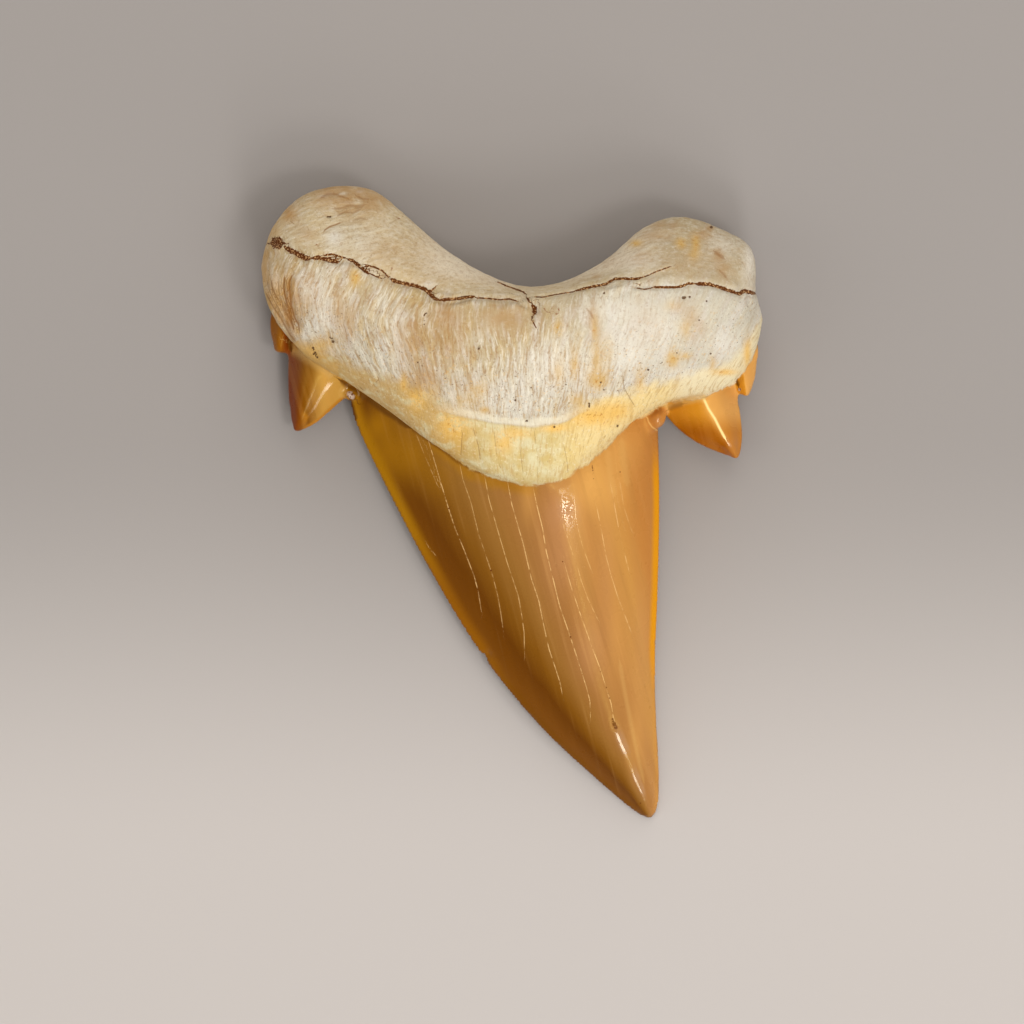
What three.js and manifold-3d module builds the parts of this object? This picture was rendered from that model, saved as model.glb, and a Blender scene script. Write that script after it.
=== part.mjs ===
// A fossil shark tooth, lying on its labial (outer) face with its lingual (inner) face up.
//
// X runs across the tooth, Y from the tip of the crown to the lobes of the root, and Z from the
// surface it lies on up to the lingual face. Units are millimetres, and the origin is at the
// middle of the tooth's length and width, on the surface. Root, crown and side cusplets grew as
// one body, so they are lofted one by one and joined into a single closed solid.
import * as THREE from "three";
import { mergeVertices } from "three/addons/utils/BufferGeometryUtils.js";
import Module from "manifold-3d";

// Driving dimensions. The outlines below are drawn close to this length and width, and the
// finished solid is fitted to them.
const TOOTH_LENGTH = 60;
const ROOT_WIDTH = 47.7;
const ROOT_THICKNESS = 16.4;
const CROWN_RISE = 10; // height of the crown's ridge over its cutting edges, inside the root
const CROWN_TAPER = 0.64; // power by which the ridge falls towards the tip
const RIDGE_ACROSS = [0.64, 0.6]; // place of the ridge across the crown, at the foot and the tip
const EDGE_HEIGHT = 1.5; // height of the cutting edges over the middle of the labial face
const LABIAL_BOW = 0.7; // how far the crown's labial face arches clear of the surface
const LABIAL_HEEL = 0.9; // how far that face curls up into the root at the crown's foot
const HEEL_REACH = 0.16; // the share of the crown's length that curls up so
const REST_DEPTH = 0.25; // how deep the flats are worn where the tooth touches the surface
const FOSSIL = { color: "#c39a5f", roughness: 0.45, metalness: 0 };

// How finely each piece is faceted.
const ROOT_STATIONS = 56;
const ROOT_SPAN_STEPS = 4;
const CROWN_STATIONS = 34;
const CROWN_FACE_STEPS = 12;
const CUSPLET_STATIONS = 10;
const CUSPLET_FACE_STEPS = 6;

// The root's rails, which run from the end of the left lobe to the end of the right one.
// Each point is [x, y, height as a share of the root's thickness].
const LEFT_END = [-23.9, 22.2, 0.34];
const RIGHT_END = [23.9, 17.4, 0.32];
const ROOT_RAILS = {
  // the silhouette over both lobes and through the cleft between them
  brow: [
    LEFT_END,
    [-23.4, 24.6, 0.36],
    [-22.3, 26.9, 0.37],
    [-19.9, 29.2, 0.38],
    [-16.4, 30.1, 0.38],
    [-13.2, 29.7, 0.4],
    [-10.0, 27.2, 0.44],
    [-6.4, 24.1, 0.5],
    [-2.0, 21.5, 0.56],
    [1.8, 20.5, 0.58],
    [5.6, 21.3, 0.56],
    [9.2, 23.3, 0.5],
    [12.6, 26.2, 0.44],
    [16.0, 27.2, 0.4],
    [20.0, 25.9, 0.38],
    [22.7, 24.3, 0.38],
    [23.2, 22.4, 0.37],
    [23.1, 20.4, 0.35],
    RIGHT_END,
  ],
  // the crest, where the basal face turns into the lingual face
  crest: [
    LEFT_END,
    [-22.9, 24.0, 0.6],
    [-20.4, 23.8, 0.74],
    [-15.5, 22.6, 0.84],
    [-8.6, 20.0, 0.92],
    [-1.0, 18.8, 0.95],
    [5.0, 19.2, 0.94],
    [11.5, 20.8, 0.87],
    [17.5, 20.8, 0.78],
    [21.6, 20.1, 0.64],
    RIGHT_END,
  ],
  // the belly, the thickest part of the root
  belly: [
    LEFT_END,
    [-23.1, 20.4, 0.58],
    [-20.6, 19.2, 0.76],
    [-15.0, 17.4, 0.9],
    [-8.0, 15.0, 0.98],
    [0.5, 13.8, 1.0],
    [8.0, 15.0, 0.97],
    [15.0, 16.0, 0.86],
    [20.0, 16.2, 0.72],
    [23.0, 16.2, 0.52],
    RIGHT_END,
  ],
  // the lip, where the rough root meets the smooth neck
  lip: [
    LEFT_END,
    [-23.2, 18.7, 0.5],
    [-20.4, 15.8, 0.62],
    [-15.6, 13.2, 0.7],
    [-9.6, 9.6, 0.76],
    [-4.0, 7.8, 0.78],
    [1.8, 7.2, 0.79],
    [6.4, 8.3, 0.77],
    [11.0, 10.2, 0.72],
    [16.4, 11.6, 0.64],
    [20.6, 13.0, 0.56],
    [23.2, 15.2, 0.44],
    RIGHT_END,
  ],
  // the neck, where the lingual enamel begins
  neck: [
    LEFT_END,
    [-23.5, 19.8, 0.42],
    [-22.4, 17.2, 0.42],
    [-20.2, 14.5, 0.44],
    [-16.4, 11.9, 0.44],
    [-11.6, 8.6, 0.46],
    [-7.4, 5.4, 0.51],
    [-3.0, 2.8, 0.58],
    [1.4, 1.5, 0.62],
    [4.4, 2.0, 0.63],
    [8.0, 4.6, 0.58],
    [11.6, 7.7, 0.48],
    [14.8, 9.5, 0.43],
    [18.4, 10.2, 0.42],
    [21.0, 11.2, 0.4],
    [22.8, 13.4, 0.37],
    RIGHT_END,
  ],
  // the labial face of the root: under the crown's foot, across the middle, and below the brow
  labialFoot: [
    LEFT_END,
    [-22.4, 18.6, 0.2],
    [-17.0, 14.2, 0.16],
    [-9.0, 11.0, 0.15],
    [1.0, 9.8, 0.15],
    [10.0, 10.6, 0.15],
    [18.0, 13.0, 0.16],
    [22.6, 15.2, 0.2],
    RIGHT_END,
  ],
  labialFace: [
    LEFT_END,
    [-22.4, 21.8, 0.1],
    [-17.4, 21.4, 0.01],
    [-9.6, 18.2, 0.05],
    [1.4, 15.8, 0.09],
    [11.0, 17.8, 0.05],
    [18.0, 19.4, 0.01],
    [22.4, 18.6, 0.1],
    RIGHT_END,
  ],
  labialBrow: [
    LEFT_END,
    [-22.8, 24.6, 0.14],
    [-20.0, 27.4, 0.06],
    [-16.2, 28.0, 0.03],
    [-12.6, 26.8, 0.05],
    [-6.4, 22.2, 0.13],
    [1.6, 18.8, 0.22],
    [8.4, 21.4, 0.13],
    [13.6, 24.7, 0.05],
    [17.0, 25.2, 0.03],
    [20.6, 23.8, 0.06],
    [22.6, 20.8, 0.14],
    RIGHT_END,
  ],
};

// Swellings and hollows of the root's upper side: [x, y, spread, height].
const LUMPS = [
  [-20.6, 21.0, 2.4, 0.45],
  [-16.2, 27.2, 2.2, -0.6],
  [-11.4, 24.4, 2.6, 0.4],
  [-14.0, 18.6, 3.0, -0.3],
  [-6.0, 11.6, 3.0, 0.3],
  [1.8, 18.4, 1.4, -0.5],
  [4.6, 12.6, 3.2, 0.3],
  [12.4, 22.4, 2.2, 0.35],
  [15.6, 25.2, 1.7, -0.45],
  [19.0, 23.2, 1.9, -0.6],
  [12.8, 14.2, 2.6, -0.25],
  [18.8, 17.8, 2.4, 0.35],
];

// Cracks that opened along the crest: a path over the surface, and the width and depth.
const CRACKS = [
  {
    width: 0.7,
    depth: 0.5,
    path: [
      [-22.3, 24.5],
      [-20.8, 23.8],
      [-19.5, 23.1],
      [-17.3, 23.1],
      [-15.3, 22.9],
      [-13.8, 22.1],
      [-12.0, 21.6],
      [-10.2, 20.7],
      [-8.6, 20.4],
      [-7.5, 19.6],
      [-6.2, 19.0],
      [-3.9, 19.4],
      [-2.2, 19.3],
      [0.4, 19.1],
      [1.9, 18.3],
      [2.2, 17.2],
    ],
  },
  {
    width: 0.45,
    depth: 0.35,
    path: [
      [1.7, 19.4],
      [4.0, 19.6],
      [6.8, 20.2],
      [9.0, 20.4],
      [11.9, 21.1],
      [14.8, 22.2],
    ],
  },
  {
    width: 0.6,
    depth: 0.45,
    path: [
      [12.0, 20.2],
      [14.5, 20.4],
      [16.8, 20.4],
      [19.4, 20.3],
      [21.8, 19.9],
      [23.0, 19.6],
    ],
  },
];

// The crown's two cutting edges, from inside the root to the tip.
const CROWN_TIP = [13.15, -30.2];
const CROWN_EDGES = {
  mesial: [
    [-15.6, 12.6],
    [-15.4, 9.7],
    [-14.8, 7.5],
    [-12.5, 2.6],
    [-9.0, -4.2],
    [-5.1, -11.0],
    [-1.5, -16.3],
    [3.2, -21.8],
    [8.6, -26.8],
    [12.1, -29.7],
    CROWN_TIP,
  ],
  distal: [
    [13.7, 12.6],
    [13.85, 8.0],
    [14.0, 0.0],
    [13.85, -8.0],
    [13.6, -14.5],
    [13.65, -20.0],
    [13.9, -25.0],
    [13.9, -28.0],
    [13.65, -29.6],
    CROWN_TIP,
  ],
};

// The side cusplets. Each has two cutting edges from inside the root to the tip, the rise of its
// ridge over them, the ridge's place across it, the height of the edges, and how blunt it ends.
const CUSPLETS = [
  {
    left: [
      [-21.3, 17.5],
      [-21.35, 12.4],
      [-21.2, 9.6],
      [-20.75, 6.9],
    ],
    right: [
      [-13.6, 11.8],
      [-16.0, 9.8],
      [-18.4, 7.7],
      [-20.3, 6.8],
    ],
    rise: 4.6,
    ridge: 0.4,
    height: 2.3,
    blunt: 0.1,
  },
  {
    left: [
      [-22.7, 19.4],
      [-23.0, 17.2],
      [-22.9, 15.4],
      [-22.6, 14.3],
    ],
    right: [
      [-19.4, 17.6],
      [-20.6, 16.0],
      [-21.2, 14.9],
      [-21.4, 14.3],
    ],
    rise: 2.4,
    ridge: 0.5,
    height: 2.8,
    blunt: 0.5,
  },
  {
    left: [
      [13.4, 10.6],
      [15.1, 7.8],
      [17.7, 5.7],
      [21.2, 4.3],
    ],
    right: [
      [21.3, 13.2],
      [21.6, 9.4],
      [21.85, 6.4],
      [21.55, 4.3],
    ],
    rise: 4.4,
    ridge: 0.58,
    height: 2.2,
    blunt: 0.1,
  },
  {
    left: [
      [19.6, 14.0],
      [20.8, 11.8],
      [21.6, 10.6],
      [22.0, 10.0],
    ],
    right: [
      [23.5, 16.0],
      [23.35, 13.4],
      [23.1, 11.4],
      [22.6, 10.0],
    ],
    rise: 2.4,
    ridge: 0.5,
    height: 2.6,
    blunt: 0.45,
  },
];

// The shoulder: the band of enamel that joins crown and cusplets across the labial face.
const SHOULDER = {
  foot: [
    [-22.9, 19.0],
    [-20.4, 17.8],
    [-15.0, 15.0],
    [-8.0, 13.1],
    [0.0, 12.3],
    [8.0, 12.6],
    [15.0, 13.8],
    [20.0, 15.4],
    [23.2, 16.0],
  ],
  edge: [
    [-22.9, 17.4],
    [-21.2, 15.0],
    [-18.5, 11.8],
    [-15.6, 10.1],
    [-8.0, 8.0],
    [0.0, 7.0],
    [9.0, 7.4],
    [14.7, 8.5],
    [18.0, 9.8],
    [21.2, 11.6],
    [23.2, 14.4],
  ],
  height: 2.4,
  depth: 1.8,
};

// Enamel nubs in the corners beside the crown: [x, y, z, width, length, height].
const NUBS = [
  [13.7, 8.2, 3.1, 2.0, 2.5, 2.6],
  [-15.4, 10.2, 3.0, 1.1, 1.2, 1.6],
];

const wasm = await Module();
wasm.setup();

// A closed loft through rings of points, with its first and last rings filled in.
function loft(rings) {
  const around = rings[0].length;
  const last = (rings.length - 1) * around;
  const positions = rings.flat().flatMap((p) => [p.x, p.y, p.z]);
  const faces = [];
  for (let i = 0; i + 1 < rings.length; i++) {
    for (let j = 0; j < around; j++) {
      const next = (j + 1) % around;
      const [a, b] = [i * around + j, i * around + next];
      const [c, d] = [a + around, b + around];
      faces.push(a, b, d, a, d, c);
    }
  }
  for (let j = 1; j + 1 < around; j++) {
    faces.push(0, j + 1, j, last, last + j, last + j + 1);
  }
  return new THREE.BufferGeometry()
    .setAttribute("position", new THREE.Float32BufferAttribute(positions, 3))
    .setIndex(faces);
}

// The geometry as a manifold-3d solid, with shared vertices merged and its faces turned outwards.
function solidOf(geometry) {
  const merged = mergeVertices(geometry.deleteAttribute("normal").deleteAttribute("uv"), 1e-4);
  const index = Array.from(merged.index.array);
  const whole = [];
  for (let i = 0; i < index.length; i += 3) {
    const [a, b, c] = index.slice(i, i + 3);
    if (a !== b && b !== c && c !== a) whole.push(a, b, c);
  }
  const build = (triVerts) =>
    new wasm.Manifold(
      new wasm.Mesh({
        numProp: 3,
        vertProperties: merged.attributes.position.array,
        triVerts: new Uint32Array(triVerts),
      }),
    );
  const made = build(whole);
  return made.volume() < 0 ? build(whole.reverse()) : made;
}

function geometryOf(solid) {
  const { vertProperties, triVerts } = solid.getMesh();
  return new THREE.BufferGeometry()
    .setAttribute("position", new THREE.BufferAttribute(vertProperties, 3))
    .setIndex(new THREE.BufferAttribute(triVerts, 1));
}

// Even steps from 0 to 1, drawn together at the ends by a share.
function stations(count, crowding) {
  return Array.from({ length: count + 1 }, (_, i) => {
    const s = i / count;
    return THREE.MathUtils.lerp(s, (1 - Math.cos(Math.PI * s)) / 2, crowding);
  });
}

// How far the lumps lift a point of the root. They fade out towards the labial face.
function lumpAt({ x, y, z }) {
  const share = THREE.MathUtils.smoothstep(z / ROOT_THICKNESS, 0.3, 0.7);
  return LUMPS.reduce((sum, [cx, cy, spread, height]) => {
    const away = Math.hypot(x - cx, y - cy) / spread;
    return sum + share * height * Math.exp(-away * away);
  }, 0);
}

// The root: closed sections threaded through all the rails.
function rootSolid() {
  const rails = Object.values(ROOT_RAILS).map((points) => {
    const placed = points.map(([x, y, share]) => new THREE.Vector3(x, y, share * ROOT_THICKNESS));
    const rail = new THREE.CatmullRomCurve3(placed, false, "centripetal");
    rail.arcLengthDivisions = 1000;
    return rail;
  });
  const around = rails.length * ROOT_SPAN_STEPS;
  const rings = stations(ROOT_STATIONS, 0.9).map((u) => {
    const corners = rails.map((rail) => rail.getPointAt(u));
    if (u === 0 || u === 1) return Array(around).fill(corners[0]);
    const section = new THREE.CatmullRomCurve3(corners, true, "centripetal");
    return section.getPoints(around).slice(0, -1);
  });
  rings.flat().forEach((p) => (p.z += lumpAt(p)));
  return solidOf(loft(rings));
}

// A blade between two cutting edges: a domed lingual face with its ridge at ridge(s), and a
// flatter labial face. height(s) is that of the edges, and depth(s) how far the labial face
// bulges below them.
function bladeSolid({ left, right, count, faceSteps, ridge, rise, height, depth }) {
  const [a, b] = [left, right].map(
    (points) => new THREE.SplineCurve(points.map(([x, y]) => new THREE.Vector2(x, y))),
  );
  const across = stations(faceSteps, 0.5);
  const rings = stations(count, 0.35).map((s) => {
    const [p, q] = [a.getPointAt(s), b.getPointAt(s)];
    const at = (w, z) => new THREE.Vector3(p.x + (q.x - p.x) * w, p.y + (q.y - p.y) * w, z);
    const dome = (w) => 1 - (1 - Math.min(w / ridge(s), (1 - w) / (1 - ridge(s)))) ** 1.7;
    const lingual = across.map((w) => at(w, height(s) + rise(s) * dome(w)));
    const labial = across
      .slice(1, -1)
      .reverse()
      .map((w) => at(w, height(s) - depth(s) * 4 * w * (1 - w)));
    return [...lingual, ...labial];
  });
  return solidOf(loft(rings));
}

function crownSolid() {
  const taper = (s) => (1 - s) ** CROWN_TAPER;
  const bow = (s) => LABIAL_BOW * 4 * s * (1 - s);
  const heel = (s) => LABIAL_HEEL * Math.max(0, 1 - s / HEEL_REACH) ** 2;
  return bladeSolid({
    left: CROWN_EDGES.mesial,
    right: CROWN_EDGES.distal,
    count: CROWN_STATIONS,
    faceSteps: CROWN_FACE_STEPS,
    ridge: (s) => THREE.MathUtils.lerp(...RIDGE_ACROSS, s),
    rise: (s) => CROWN_RISE * taper(s),
    height: (s) => heel(s) + bow(s) + EDGE_HEIGHT * taper(s),
    depth: (s) => EDGE_HEIGHT * taper(s),
  });
}

function cuspletSolid({ left, right, rise, ridge, height, blunt }) {
  const taper = (s) => blunt + (1 - blunt) * (1 - s) ** 0.7;
  return bladeSolid({
    left,
    right,
    count: CUSPLET_STATIONS,
    faceSteps: CUSPLET_FACE_STEPS,
    ridge: () => ridge,
    rise: (s) => rise * taper(s),
    height: () => height,
    depth: (s) => (height / 2) * taper(s),
  });
}

function shoulderSolid({ foot, edge, height, depth }) {
  const swell = (s) => Math.sin(Math.PI * THREE.MathUtils.clamp(s, 0, 1)) ** 0.5;
  return bladeSolid({
    left: edge,
    right: foot,
    count: 3 * CUSPLET_STATIONS,
    faceSteps: CUSPLET_FACE_STEPS,
    ridge: () => 0.5,
    rise: (s) => 1.5 * swell(s),
    height: () => height,
    depth: (s) => depth * swell(s),
  });
}

function nubSolid([x, y, z, width, length, height]) {
  const nub = new THREE.SphereGeometry(0.5, 10, 8);
  return solidOf(nub.scale(width, length, height).translate(x, y, z));
}

// A V-shaped cut that follows a path over a surface, and narrows to nothing at both ends.
function crackSolid({ path, width, depth }, surface) {
  const probe = new THREE.Raycaster();
  const down = new THREE.Vector3(0, 0, -1);
  const feet = path.map(([x, y]) => {
    probe.set(new THREE.Vector3(x, y, 2 * ROOT_THICKNESS), down);
    return probe.intersectObject(surface)[0];
  });
  const rings = feet.map(({ point, face }, i) => {
    const end = i === 0 || i === feet.length - 1;
    const along = feet[Math.min(i + 1, feet.length - 1)].point
      .clone()
      .sub(feet[Math.max(i - 1, 0)].point);
    const side = along.cross(face.normal).setLength(end ? width / 6 : width);
    const above = point.clone().addScaledVector(face.normal, depth);
    const below = point.clone().addScaledVector(face.normal, end ? 0 : -depth);
    return [above.clone().add(side), below, above.sub(side)];
  });
  return solidOf(loft(rings));
}

// The solid at the driving width and length, centred over the origin.
function fitted(solid) {
  const { min, max } = solid.boundingBox();
  return solid
    .translate([-(min[0] + max[0]) / 2, -(min[1] + max[1]) / 2, 0])
    .scale([ROOT_WIDTH / (max[0] - min[0]), TOOTH_LENGTH / (max[1] - min[1]), 1]);
}

// The block below the surface that the tooth lies on. Cutting it away leaves the worn flats.
function groundSolid() {
  const block = new THREE.BoxGeometry(2 * ROOT_WIDTH, 2 * TOOTH_LENGTH, ROOT_THICKNESS);
  return solidOf(block.translate(0, 0, -ROOT_THICKNESS / 2));
}

const root = rootSolid();
const rootSurface = new THREE.Mesh(geometryOf(root));
const cracked = CRACKS.reduce(
  (cut, crack) => cut.subtract(crackSolid(crack, rootSurface)),
  root,
);
const grown = [
  crownSolid(),
  ...CUSPLETS.map(cuspletSolid),
  shoulderSolid(SHOULDER),
  ...NUBS.map(nubSolid),
].reduce((joined, piece) => joined.add(piece), cracked);
const rested = fitted(grown.translate([0, 0, -REST_DEPTH]).subtract(groundSolid()));

const tooth = new THREE.Mesh(geometryOf(rested), new THREE.MeshStandardMaterial(FOSSIL));
tooth.name = "shark_tooth";

const group = new THREE.Group();
group.add(tooth);
export default group;
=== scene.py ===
"""Looks of the fossil shark tooth: a dense sculpted copy of its solid, its material and a studio.

Outlines are in millimetres in the part's frame, looking down on the lingual face: X runs across
the tooth and Y from the tip of the crown to the lobes of the root. The scene is in metres.
"""

import math

import bmesh
import bpy
import numpy as np
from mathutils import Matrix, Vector
from mathutils.kdtree import KDTree


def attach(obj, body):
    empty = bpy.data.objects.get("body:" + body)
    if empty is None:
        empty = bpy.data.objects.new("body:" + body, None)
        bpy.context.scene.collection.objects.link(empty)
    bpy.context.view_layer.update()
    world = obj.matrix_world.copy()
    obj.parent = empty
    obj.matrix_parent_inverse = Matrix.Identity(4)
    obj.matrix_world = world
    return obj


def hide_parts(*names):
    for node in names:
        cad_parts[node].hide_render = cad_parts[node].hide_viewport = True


MM = 0.001

# ------------------------ outlines, in millimetres
# Where the lingual enamel begins.
NECK = [
    (-23.85, 21.6), (-23.5, 19.8), (-22.4, 17.2), (-20.2, 14.5), (-16.4, 12.1), (-11.6, 8.8), (-7.4, 5.5),
    (-5.2, 3.8), (-3, 2.7), (1.4, 1.5), (4.4, 1.9), (6.2, 2.95), (8, 4.3), (9.8, 6), (11.6, 7.7),
    (14.8, 9.3), (16.5, 9.6), (18.4, 10), (21, 11.2), (22.8, 13.4), (23.85, 16.9),
]
# Where the rough root ends in a low lip, above the smooth band of the neck.
LIP = [
    (-23.85, 20.6), (-22.6, 16.6), (-20.4, 13.8), (-18.9, 14), (-16.3, 12.9), (-13.1, 11.4), (-10.4, 10.8),
    (-9, 9.8), (-7.4, 8.9), (-5.6, 8.2), (-1.6, 7.4), (1.8, 7.1), (4.3, 7.4), (6.5, 8.3), (9.1, 9.3),
    (11.9, 10), (16.4, 11.2), (20.2, 12.4), (22.2, 14.4), (23.85, 17.2),
]
# Where the enamel ends on the labial face.
LABIAL_FOOT = [
    (-23.85, 20), (-22.6, 18.6), (-20.4, 17.5), (-15, 14.8), (-8, 13), (0, 12.2), (8, 12.5), (15, 13.7),
    (20, 15.2), (23.85, 16.6),
]
# The fold between the root's basal and lingual faces.
CREST = [
    (-23.85, 24), (-20.4, 23.8), (-15.5, 22.6), (-8.6, 20), (-1, 18.8), (5, 19.2), (11.5, 20.8),
    (17.5, 20.8), (23.85, 19.6),
]
# The crown's cutting edges.
LEFT_EDGE = [
    (-15.4, 9.7), (-14.8, 7.5), (-12.5, 2.6), (-9, -4.2), (-5.1, -11), (-1.5, -16.3), (3.2, -21.8),
    (8.6, -26.8), (12.1, -29.7),
]
RIGHT_EDGE = [
    (13.8, 9.7), (14, 0), (13.85, -8), (13.6, -14.5), (13.65, -20), (13.9, -25), (13.9, -28),
    (13.65, -29.6),
]

# Cracks along the root, filled with brown grains: half width, depth, and the path.
ROOT_CRACKS = [
    (0.42, 0.3, [(-22.8, 24.5), (-22.2, 24.55), (-21.7, 24.5)]),
    (0.2, 0.3, [(-21.6, 24.2), (-20.9, 23.8), (-20.2, 23.4), (-19.6, 23.1), (-19, 23.05)]),
    (0.17, 0.3, [(-19.1, 23.05), (-18.2, 23.1), (-17.5, 22.95), (-16.8, 22.75), (-16.3, 22.75)]),
    (0.08, 0.2, [(-17.9, 23.3), (-17, 23.45), (-16.1, 23.15), (-15.2, 22.95)]),
    (0.13, 0.28, [(-15.6, 23), (-15, 22.8), (-14.4, 22.3), (-13.9, 21.8), (-13.5, 21.6)]),
    (0.06, 0.2, [(-13.6, 21.7), (-12.8, 21.3), (-12.2, 21.15)]),
    (0.07, 0.2, [(-14, 22.45), (-13, 22.2), (-12.3, 21.9), (-11.8, 21.4), (-11.3, 21.05)]),
    (0.14, 0.28, [
        (-11.5, 21.05), (-10.8, 20.8), (-10.2, 20.65), (-9, 20.4), (-8.2, 20.1), (-7.8, 19.7), (-7.4, 19.3),
        (-6.8, 19),
    ]),
    (0.07, 0.16, [(-7.8, 19.9), (-7.4, 20.15), (-7.1, 20.45)]),
    (0.12, 0.26, [(-6.9, 19), (-6.2, 19.15), (-5.3, 19.2), (-4.6, 19.3), (-3.9, 19.4), (-3.4, 19.35)]),
    (0.06, 0.2, [(-3.6, 19.3), (-2.3, 19.25), (-1.2, 19.1), (-0.2, 19.2), (0.6, 18.95)]),
    (0.06, 0.2, [(-1.5, 20.9), (-0.4, 20.4), (1, 19.9), (1.4, 19.6)]),
    (0.07, 0.24, [(1.3, 19.5), (1.6, 19), (2, 18.6)]),
    (0.17, 0.3, [(1.95, 18.7), (2.1, 18.3), (2.15, 18), (2, 17.7)]),
    (0.11, 0.3, [(2.05, 17.8), (1.85, 17.3)]),
    (0.05, 0.12, [(1.8, 17.3), (2.1, 16.8), (2.3, 16.4)]),
    (0.05, 0.18, [(2.1, 19.4), (2.9, 19.35), (3.8, 19.55), (5, 19.75), (6, 19.9)]),
    (0.1, 0.22, [
        (5.9, 19.95), (6.6, 20.1), (7.5, 20.35), (8.9, 20.6), (9.7, 21.1), (10.6, 21.1), (11.8, 21.1),
        (12.4, 21.3),
    ]),
    (0.05, 0.16, [(12.3, 21.2), (13, 21.5), (13.7, 21.8), (14.5, 22.1), (15.1, 22.3)]),
    (0.05, 0.18, [(11.6, 20.25), (12.6, 20.1), (13.4, 20.3)]),
    (0.1, 0.22, [(13.3, 20.3), (14.9, 20.3), (15.9, 20.35), (16.8, 20.7), (17.6, 20.6)]),
    (0.14, 0.26, [
        (17.3, 20.65), (18.6, 20.6), (19.6, 20.35), (20.6, 20), (21.5, 19.7), (22, 20), (23.2, 19.7),
    ]),
]
# Cracks with no filling, in and above the band of the neck.
NECK_CRACKS = [
    (0.05, 0.1, [(-5.2, 8.1), (-4.7, 6.5), (-4.85, 4.3)]),
    (0.05, 0.1, [(-3.7, 7), (-3.2, 5.4), (-2.9, 3.2)]),
    (0.04, 0.08, [(-1.7, 6.7), (-1.45, 4.3)]),
    (0.05, 0.1, [(-1.2, 3.5), (-0.85, 2.8)]),
    (0.04, 0.08, [(0.7, 6.1), (0.85, 4.3), (1.05, 2.7)]),
    (0.04, 0.08, [(2.1, 6.8), (2.4, 4.4), (2.4, 2.2)]),
    (0.04, 0.08, [(4.9, 5.4), (5.2, 3.9), (5.3, 2.8)]),
    (0.05, 0.1, [(10.4, 12.4), (10.6, 10.8), (11.1, 9.9), (11.8, 8.8)]),
    (0.05, 0.1, [(-12.9, 12.2), (-12.6, 11.6), (-13.2, 11)]),
    (0.05, 0.1, [(-21.1, 26.7), (-20.5, 26.2)]),
]
# Fine growth cracks in the enamel: strength and path.
ENAMEL_CRACKS = [
    (0.5, [(-9.1, 6.5), (-8.3, 4.5), (-7.4, 2.4), (-7, 1.4)]),
    (1, [
        (-8.1, 6.4), (-7.5, 4.4), (-6.65, 1.5), (-6.05, -0.5), (-5.4, -2.5), (-4.6, -4.4), (-3.6, -7),
        (-3.2, -8.5), (-2.9, -10.4),
    ]),
    (0.6, [
        (-4.95, 3.6), (-4.65, 2.1), (-3.9, 0), (-3.15, -3.1), (-2.5, -5), (-1.8, -7.1), (-1.35, -8.9),
        (-1.05, -10.6), (-0.8, -12.4),
    ]),
    (0.75, [
        (-2.65, 2.8), (-2.2, 0.3), (-1.2, -3.2), (-0.5, -5.6), (0, -7.1), (0.6, -8.9), (0.95, -10.9),
        (1.15, -12.4), (1.2, -14.7),
    ]),
    (1, [
        (-0.4, 1.8), (0, -0.3), (1.05, -3.9), (1.4, -5.4), (1.85, -7.3), (2.55, -9.4), (2.9, -11.2),
        (3.5, -13.9), (4.1, -15.7), (4.55, -17.1), (4.8, -18.4),
    ]),
    (1, [
        (2, 1.4), (2.35, -0.3), (2.9, -2.5), (3.25, -4.7), (3.7, -6.5), (4.5, -9.8), (5.5, -12.7),
        (6.25, -15), (7.1, -17.7), (7.4, -18.9), (7.45, -20.6),
    ]),
    (0.4, [(4.8, -1.9), (5.4, -3.8), (5.85, -5.2)]),
    (0.75, [
        (4.95, -5.7), (5.6, -8), (6.4, -10.4), (7.75, -14.2), (8.4, -15.9), (9, -17.9), (9.4, -19.1),
        (9.6, -20.4), (9.9, -21.4),
    ]),
    (0.4, [(5.85, 0.7), (6.05, -1.8), (6.7, -4.3), (7.6, -6.7)]),
    (0.5, [(6.2, -6.1), (6.5, -7.3), (7.2, -9.2), (8.2, -11.3)]),
    (0.7, [
        (8, -0.3), (8.55, -3.1), (8.9, -5.1), (9.4, -7), (10.1, -9.2), (10.8, -11), (11.4, -12.6),
    ]),
    (0.75, [(9.35, 1.7), (9.75, -0.5), (10.15, -2.7), (10.7, -5), (11.1, -6.6)]),
    (0.45, [(10.2, 2.1), (10.6, -0.5), (11.4, -2.9)]),
    (0.6, [(-8.1, -3.9), (-7.85, -4.35)]),
    (0.8, [(-7.6, -4.6), (-7.2, -5.15)]),
]
# Paler bands of the enamel, and painted highlights along the right cusp's crest, the nub's rim and the
# ridge near the tip: half width, strength and path.
PALE_BANDS_AND_GLINTS = [
    (0.13, 1, [(18, 10.2), (18.6, 8.9), (19.25, 7.9), (19.75, 6.9), (20.3, 5.9)]),
    (0.08, 0.8, [(12.8, 8.2), (12.95, 7.6), (13.3, 7.1), (13.8, 6.8)]),
    (0.22, 0.16, [(10.2, -15), (10.7, -18), (11.2, -20.6), (11.8, -23.4), (12.5, -26.6)]),
    (0.35, 0.14, [(9, 5), (9.3, 2.6), (9.7, 0.6)]),
    (0.4, 0.14, [(10.4, 6), (10.6, 3.6), (10.9, 1.6)]),
]
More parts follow.
